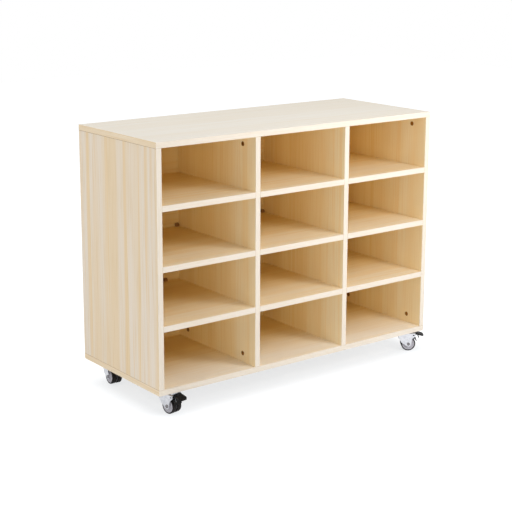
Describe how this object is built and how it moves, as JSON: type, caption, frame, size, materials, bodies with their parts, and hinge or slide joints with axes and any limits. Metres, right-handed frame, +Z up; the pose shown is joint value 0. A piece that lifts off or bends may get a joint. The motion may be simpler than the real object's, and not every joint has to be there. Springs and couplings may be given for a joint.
{
  "type": "storage trolley",
  "caption": "Low board storage unit with open front compartments between shelves and dividers, standing on swivel casters, the front ones with foot brakes.",
  "frame": {"origin": "on the floor, in the middle of the overall footprint", "axes": "+X along the width, to the right seen from the open front; +Y from the open front to the back; +Z up"},
  "size_m": [1.1085, 0.4732, 0.841],
  "materials": {
    "board": "maple-patterned melamine facing, satin",
    "edge_strip": "pale cream edge strip, satin",
    "cam_lock": "dark die-cast zinc",
    "bright_steel": "bright turned steel",
    "plated_steel": "zinc-plated pressed sheet, dull",
    "spring_steel": "bright spring strip",
    "hub_plastic": "moulded grey plastic",
    "tyre": "soft black tread, matt",
    "pedal_plastic": "moulded black plastic",
    "block_plastic": "moulded dark plastic",
    "dowel_wood": "plain beech"
  },
  "bodies": {
    "carcass": {"top_panel": "board", "bottom_panel": "board", "left_side_panel": "board", "right_side_panel": "board", "left_divider": "board", "right_divider": "board", "back_panel": "board", "left_lower_shelf": "board", "left_middle_shelf": "board", "left_upper_shelf": "board", "centre_lower_shelf": "board", "centre_middle_shelf": "board", "centre_upper_shelf": "board", "right_lower_shelf": "board", "right_middle_shelf": "board", "right_upper_shelf": "board", "long_edge_strips": "edge_strip", "end_edge_strips": "edge_strip", "upright_edge_strips": "edge_strip", "shelf_edge_strips": "edge_strip", "cam_locks": "cam_lock", "cam_bolts": "bright_steel", "dowels": "dowel_wood", "corner_blocks": "block_plastic", "plate_screws": "bright_steel", "kingpins": "bright_steel", "swivel_balls": "bright_steel", "front_left_swivel_plate": "plated_steel", "front_right_swivel_plate": "plated_steel", "rear_left_swivel_plate": "plated_steel", "rear_right_swivel_plate": "plated_steel"},
    "front_left_caster": {"front_left_fork": "plated_steel", "front_left_axle": "bright_steel"},
    "front_left_outer_wheel": {"front_left_outer_hub": "hub_plastic", "front_left_outer_tyre": "tyre"},
    "front_left_inner_wheel": {"front_left_inner_hub": "hub_plastic", "front_left_inner_tyre": "tyre"},
    "front_left_pedal": {"front_left_brake_pedal": "pedal_plastic", "front_left_brake_spring": "spring_steel"},
    "front_right_caster": {"front_right_fork": "plated_steel", "front_right_axle": "bright_steel"},
    "front_right_outer_wheel": {"front_right_outer_hub": "hub_plastic", "front_right_outer_tyre": "tyre"},
    "front_right_inner_wheel": {"front_right_inner_hub": "hub_plastic", "front_right_inner_tyre": "tyre"},
    "front_right_pedal": {"front_right_brake_pedal": "pedal_plastic", "front_right_brake_spring": "spring_steel"},
    "rear_left_caster": {"rear_left_fork": "plated_steel", "rear_left_axle": "bright_steel"},
    "rear_left_outer_wheel": {"rear_left_outer_hub": "hub_plastic", "rear_left_outer_tyre": "tyre"},
    "rear_left_inner_wheel": {"rear_left_inner_hub": "hub_plastic", "rear_left_inner_tyre": "tyre"},
    "rear_right_caster": {"rear_right_fork": "plated_steel", "rear_right_axle": "bright_steel"},
    "rear_right_outer_wheel": {"rear_right_outer_hub": "hub_plastic", "rear_right_outer_tyre": "tyre"},
    "rear_right_inner_wheel": {"rear_right_inner_hub": "hub_plastic", "rear_right_inner_tyre": "tyre"}
  },
  "joints": [
    {"name": "front_left_swivel", "type": "hinge", "parent": "carcass", "child": "front_left_caster", "pos_m": [-0.49924, -0.1596, 0.071], "axis": [0, 0, 1], "continuous": true},
    {"name": "front_left_outer_wheel_spin", "type": "hinge", "parent": "front_left_caster", "child": "front_left_outer_wheel", "pos_m": [-0.49542, -0.18127, 0.025], "axis": [0.9848, 0.1736, 0], "continuous": true},
    {"name": "front_left_inner_wheel_spin", "type": "hinge", "parent": "front_left_caster", "child": "front_left_inner_wheel", "pos_m": [-0.49542, -0.18127, 0.025], "axis": [0.9848, 0.1736, 0], "continuous": true},
    {"name": "front_left_brake", "type": "hinge", "parent": "front_left_caster", "child": "front_left_pedal", "pos_m": [-0.49229, -0.19899, 0.0565], "axis": [0.9848, 0.1736, 0], "range_deg": [0, 9]},
    {"name": "front_right_swivel", "type": "hinge", "parent": "carcass", "child": "front_right_caster", "pos_m": [0.48476, -0.1596, 0.071], "axis": [0, 0, 1], "continuous": true},
    {"name": "front_right_outer_wheel_spin", "type": "hinge", "parent": "front_right_caster", "child": "front_right_outer_wheel", "pos_m": [0.50256, -0.17253, 0.025], "axis": [0.5878, 0.809, 0], "continuous": true},
    {"name": "front_right_inner_wheel_spin", "type": "hinge", "parent": "front_right_caster", "child": "front_right_inner_wheel", "pos_m": [0.50256, -0.17253, 0.025], "axis": [0.5878, 0.809, 0], "continuous": true},
    {"name": "front_right_brake", "type": "hinge", "parent": "front_right_caster", "child": "front_right_pedal", "pos_m": [0.51712, -0.18311, 0.0565], "axis": [0.5878, 0.809, 0], "range_deg": [0, 9]},
    {"name": "rear_left_swivel", "type": "hinge", "parent": "carcass", "child": "rear_left_caster", "pos_m": [-0.49924, 0.1724, 0.071], "axis": [0, 0, 1], "continuous": true},
    {"name": "rear_left_outer_wheel_spin", "type": "hinge", "parent": "rear_left_caster", "child": "rear_left_outer_wheel", "pos_m": [-0.50039, 0.15043, 0.025], "axis": [0.9986, -0.0523, 0], "continuous": true},
    {"name": "rear_left_inner_wheel_spin", "type": "hinge", "parent": "rear_left_caster", "child": "rear_left_inner_wheel", "pos_m": [-0.50039, 0.15043, 0.025], "axis": [0.9986, -0.0523, 0], "continuous": true},
    {"name": "rear_right_swivel", "type": "hinge", "parent": "carcass", "child": "rear_right_caster", "pos_m": [0.48476, 0.1724, 0.071], "axis": [0, 0, 1], "continuous": true},
    {"name": "rear_right_outer_wheel_spin", "type": "hinge", "parent": "rear_right_caster", "child": "rear_right_outer_wheel", "pos_m": [0.49576, 0.15335, 0.025], "axis": [0.866, 0.5, 0], "continuous": true},
    {"name": "rear_right_inner_wheel_spin", "type": "hinge", "parent": "rear_right_caster", "child": "rear_right_inner_wheel", "pos_m": [0.49576, 0.15335, 0.025], "axis": [0.866, 0.5, 0], "continuous": true}
  ]
}
